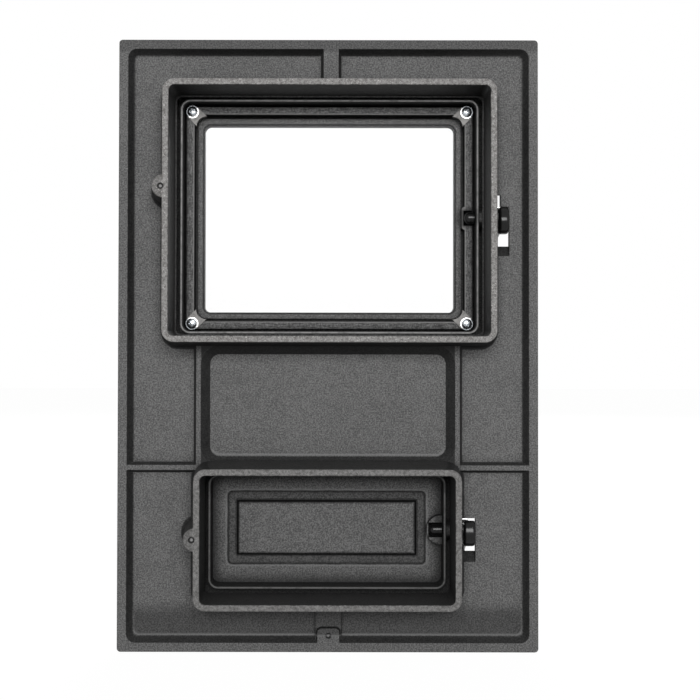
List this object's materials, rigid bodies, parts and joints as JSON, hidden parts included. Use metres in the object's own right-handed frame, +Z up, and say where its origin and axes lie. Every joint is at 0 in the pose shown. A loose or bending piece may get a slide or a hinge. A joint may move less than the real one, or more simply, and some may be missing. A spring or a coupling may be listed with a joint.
{
  "type": "stove door",
  "caption": "Cast-iron stove front in one frame: glazed fire door above, ash door below, each on hinges with a turning latch.",
  "frame": {"origin": "centre of the plate's back rim, on the plane that bears on the wall", "axes": "+Z up, +Y out into the room, +X to the right when seen from inside the stove"},
  "size_m": [0.35, 0.1, 0.51],
  "materials": {
    "plate_iron": "rough cast",
    "door_iron": "rough cast",
    "black_latch": "glossy black",
    "zinc": "bright zinc",
    "clip_steel": "plain steel",
    "pin_steel": "plain steel",
    "window_glass": "clear ceramic glass"
  },
  "bodies": {
    "frame": {"front_plate": "plate_iron", "fire_upper_hinge_pin": "pin_steel", "fire_lower_hinge_pin": "pin_steel", "ash_upper_hinge_pin": "pin_steel", "ash_lower_hinge_pin": "pin_steel"},
    "fire_door": {"fire_door_leaf": "door_iron", "window_glass": "window_glass", "glass_clip_1": "clip_steel", "glass_clip_2": "clip_steel", "glass_clip_3": "clip_steel", "glass_clip_4": "clip_steel", "clip_washers": "zinc", "clip_screws": "zinc", "fire_latch_washer": "pin_steel"},
    "fire_latch": {"fire_latch_pin": "black_latch", "fire_latch_lever": "black_latch"},
    "ash_door": {"ash_door_leaf": "door_iron", "ash_latch_washer": "pin_steel"},
    "ash_latch": {"ash_latch_pin": "black_latch", "ash_latch_lever": "black_latch"}
  },
  "joints": [
    {"name": "fire_door_hinge", "type": "hinge", "parent": "frame", "child": "fire_door", "pos_m": [-0.148, 0.022, 0.108], "axis": [0, 0, 1], "range_deg": [0, 120]},
    {"name": "ash_door_hinge", "type": "hinge", "parent": "frame", "child": "ash_door", "pos_m": [-0.1216, 0.022, -0.1566], "axis": [0, 0, 1], "range_deg": [0, 120]},
    {"name": "fire_latch_pivot", "type": "hinge", "parent": "fire_door", "child": "fire_latch", "pos_m": [0.1423, 0.021, 0.108], "axis": [-1, 0, 0], "range_deg": [-35, 14]},
    {"name": "ash_latch_pivot", "type": "hinge", "parent": "ash_door", "child": "ash_latch", "pos_m": [0.1127, 0.021, -0.1566], "axis": [-1, 0, 0], "range_deg": [-18, 14]}
  ]
}
